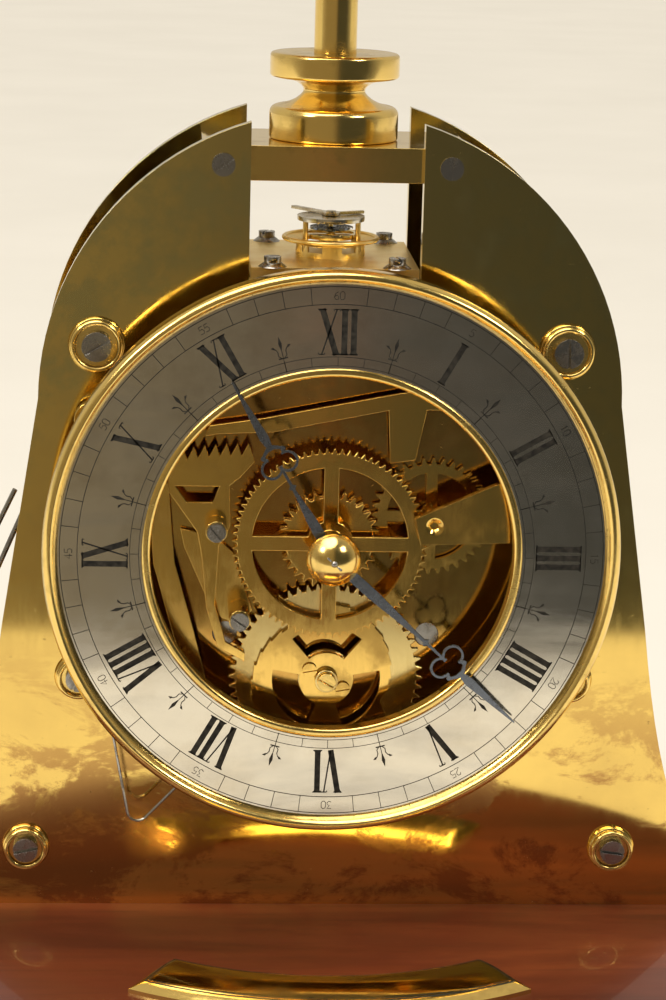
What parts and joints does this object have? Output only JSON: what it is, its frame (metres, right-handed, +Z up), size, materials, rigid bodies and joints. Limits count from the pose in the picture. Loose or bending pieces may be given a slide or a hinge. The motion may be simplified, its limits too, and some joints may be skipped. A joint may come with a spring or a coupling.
{
  "type": "skeleton clock",
  "caption": "Striking skeleton clock: two shaped brass plates, open dial with hands, motion work, spring trains, platform escapement and bell on a round wooden base.",
  "frame": {"origin": "centre of the underside of the base, on the surface it stands on", "axes": "+Z up, +X to the viewer's right, +Y away from the dial"},
  "size_m": [0.218, 0.218, 0.2765],
  "materials": {
    "polished_brass": "polished brass with age patina",
    "movement_brass": "brushed and lacquered brass",
    "gilt": "frosted gilding",
    "bell_metal": "turned and polished bell metal",
    "steel": "grey polished steel",
    "blued_steel": "blued steel",
    "silvered": "silvered brass with black numerals",
    "mahogany": "French-polished mahogany"
  },
  "bodies": {
    "frame": {"base_plinth": "mahogany", "base_feet": "polished_brass", "nameplate": "polished_brass", "front_plate": "polished_brass", "back_plate": "polished_brass", "frame_pillars": "polished_brass", "pillar_washers": "polished_brass", "pillar_screws": "steel", "top_bar": "polished_brass", "standard_collar": "polished_brass", "bell_standard": "polished_brass", "bell": "bell_metal", "bell_nut": "polished_brass", "hammer_bracket": "movement_brass", "chapter_ring": "silvered", "outer_bezel": "polished_brass", "inner_bezel": "polished_brass", "dial_feet": "movement_brass", "front_studs": "movement_brass", "minute_cock": "movement_brass", "wire_spring": "steel", "platform_plate": "gilt", "platform_screws": "steel", "balance_dish": "gilt", "hairspring": "blued_steel", "balance_cock": "steel", "platform_bridge": "gilt", "plate_screws": "steel"},
    "minute_hand_work": {"cannon_wheel": "movement_brass", "minute_hand": "blued_steel", "hand_collet": "polished_brass"},
    "minute_wheel": {"minute_wheel": "movement_brass"},
    "hour_hand_work": {"hour_wheel": "movement_brass", "hour_hand": "blued_steel"},
    "snail": {"snail_wheel": "movement_brass", "snail_cam": "movement_brass"},
    "rack": {"rack": "movement_brass"},
    "rack_hook": {"rack_hook": "movement_brass"},
    "lifting_lever": {"lifting_lever": "movement_brass"},
    "repeat_lever": {"repeat_wire": "steel", "repeat_lever": "movement_brass"},
    "going_barrel": {"going_barrel": "movement_brass", "going_mainspring": "steel"},
    "going_winder": {"going_winding_arbor": "steel"},
    "going_click": {"going_click": "steel"},
    "centre_wheel": {"centre_wheel": "movement_brass"},
    "third_wheel": {"third_wheel": "movement_brass"},
    "contrate_wheel": {"contrate_wheel": "movement_brass"},
    "escape_wheel": {"escape_wheel": "gilt"},
    "pallet_lever": {"pallet_lever": "steel"},
    "balance": {"balance_wheel": "steel"},
    "index": {"index_lever": "steel"},
    "strike_barrel": {"strike_barrel": "movement_brass", "strike_mainspring": "steel"},
    "strike_winder": {"strike_winding_arbor": "steel"},
    "strike_click": {"strike_click": "steel"},
    "pin_wheel": {"pin_wheel": "movement_brass"},
    "warning_wheel": {"warning_wheel": "movement_brass"},
    "fly": {"fly": "movement_brass"},
    "hammer": {"bell_hammer": "steel"}
  },
  "joints": [
    {"name": "minute_turn", "type": "hinge", "parent": "frame", "child": "minute_hand_work", "pos_m": [0, 0, 0.115], "axis": [0, 1, 0], "continuous": true},
    {"name": "minute_wheel_turn", "type": "hinge", "parent": "frame", "child": "minute_wheel", "pos_m": [0.0209, 0, 0.11983], "axis": [0, 1, 0], "continuous": true},
    {"name": "hour_turn", "type": "hinge", "parent": "frame", "child": "hour_hand_work", "pos_m": [0, 0, 0.115], "axis": [0, 1, 0], "continuous": true},
    {"name": "snail_turn", "type": "hinge", "parent": "frame", "child": "snail", "pos_m": [0, 0, 0.08575], "axis": [0, 1, 0], "continuous": true},
    {"name": "fourth_turn", "type": "hinge", "parent": "frame", "child": "contrate_wheel", "pos_m": [0, 0, 0.135], "axis": [0, 1, 0], "continuous": true},
    {"name": "third_turn", "type": "hinge", "parent": "frame", "child": "third_wheel", "pos_m": [0.0165, 0, 0.1275], "axis": [0, 1, 0], "continuous": true},
    {"name": "centre_turn", "type": "hinge", "parent": "frame", "child": "centre_wheel", "pos_m": [0, 0, 0.115], "axis": [0, 1, 0], "continuous": true},
    {"name": "going_barrel_turn", "type": "hinge", "parent": "frame", "child": "going_barrel", "pos_m": [-0.021, 0, 0.094], "axis": [0, 1, 0], "continuous": true},
    {"name": "escape_turn", "type": "hinge", "parent": "frame", "child": "escape_wheel", "pos_m": [0, -0.0112, 0.165], "axis": [0, 0, 1], "continuous": true},
    {"name": "pallet_rock", "type": "hinge", "parent": "frame", "child": "pallet_lever", "pos_m": [0, -0.0056, 0.165], "axis": [0, 0, 1], "range_deg": [-4, 4]},
    {"name": "balance_swing", "type": "hinge", "parent": "frame", "child": "balance", "pos_m": [0, 0, 0.173], "axis": [0, 0, 1], "range_deg": [-135, 135], "stiffness_Nm_per_rad": 0.00002},
    {"name": "index_adjust", "type": "hinge", "parent": "frame", "child": "index", "pos_m": [0, 0, 0.179], "axis": [0, 0, 1], "range_deg": [-15, 15]},
    {"name": "going_winding", "type": "hinge", "parent": "frame", "child": "going_winder", "pos_m": [-0.021, 0, 0.094], "axis": [0, 1, 0], "continuous": true},
    {"name": "strike_winding", "type": "hinge", "parent": "frame", "child": "strike_winder", "pos_m": [0.021, 0, 0.094], "axis": [0, 1, 0], "continuous": true},
    {"name": "going_click_lift", "type": "hinge", "parent": "frame", "child": "going_click", "pos_m": [-0.0344, 0, 0.101], "axis": [0, 1, 0], "range_deg": [-8, 0]},
    {"name": "strike_click_lift", "type": "hinge", "parent": "frame", "child": "strike_click", "pos_m": [0.0344, 0, 0.101], "axis": [0, 1, 0], "range_deg": [0, 8]},
    {"name": "warning_turn", "type": "hinge", "parent": "frame", "child": "warning_wheel", "pos_m": [0.03541, 0, 0.13553], "axis": [0, 1, 0], "continuous": true},
    {"name": "fly_turn", "type": "hinge", "parent": "frame", "child": "fly", "pos_m": [0.03352, 0, 0.14899], "axis": [0, 1, 0], "continuous": true},
    {"name": "pin_wheel_turn", "type": "hinge", "parent": "frame", "child": "pin_wheel", "pos_m": [0.04009, 0, 0.11675], "axis": [0, 1, 0], "continuous": true},
    {"name": "strike_barrel_turn", "type": "hinge", "parent": "frame", "child": "strike_barrel", "pos_m": [0.021, 0, 0.094], "axis": [0, 1, 0], "continuous": true},
    {"name": "rack_swing", "type": "hinge", "parent": "frame", "child": "rack", "pos_m": [-0.0232, 0, 0.1182], "axis": [0, 1, 0], "range_deg": [-2.5, 12]},
    {"name": "rack_hook_lift", "type": "hinge", "parent": "frame", "child": "rack_hook", "pos_m": [0.03, 0, 0.1445], "axis": [0, 1, 0], "range_deg": [0, 4]},
    {"name": "lifting_lever_lift", "type": "hinge", "parent": "frame", "child": "lifting_lever", "pos_m": [-0.0182, 0, 0.0996], "axis": [0, 1, 0], "range_deg": [-2.5, 2.5]},
    {"name": "repeat_pull", "type": "hinge", "parent": "frame", "child": "repeat_lever", "pos_m": [-0.052, 0, 0.126], "axis": [0, 1, 0], "range_deg": [-8, 0]},
    {"name": "hammer_swing", "type": "hinge", "parent": "frame", "child": "hammer", "pos_m": [0, 0.01295, 0.226], "axis": [1, 0, 0], "range_deg": [-26, 8]}
  ],
  "couplings": [
    {"joint": "minute_wheel_turn", "follows": "minute_turn", "ratio": -0.83333},
    {"joint": "hour_turn", "follows": "minute_turn", "ratio": 0.083333},
    {"joint": "snail_turn", "follows": "minute_turn", "ratio": -0.041667},
    {"joint": "third_turn", "follows": "fourth_turn", "ratio": -0.13333},
    {"joint": "centre_turn", "follows": "fourth_turn", "ratio": 0.016667},
    {"joint": "going_barrel_turn", "follows": "fourth_turn", "ratio": -0.0020833},
    {"joint": "escape_turn", "follows": "fourth_turn", "ratio": -10},
    {"joint": "fly_turn", "follows": "warning_turn", "ratio": -7.5},
    {"joint": "pin_wheel_turn", "follows": "warning_turn", "ratio": -0.10256},
    {"joint": "strike_barrel_turn", "follows": "warning_turn", "ratio": 0.012821}
  ]
}
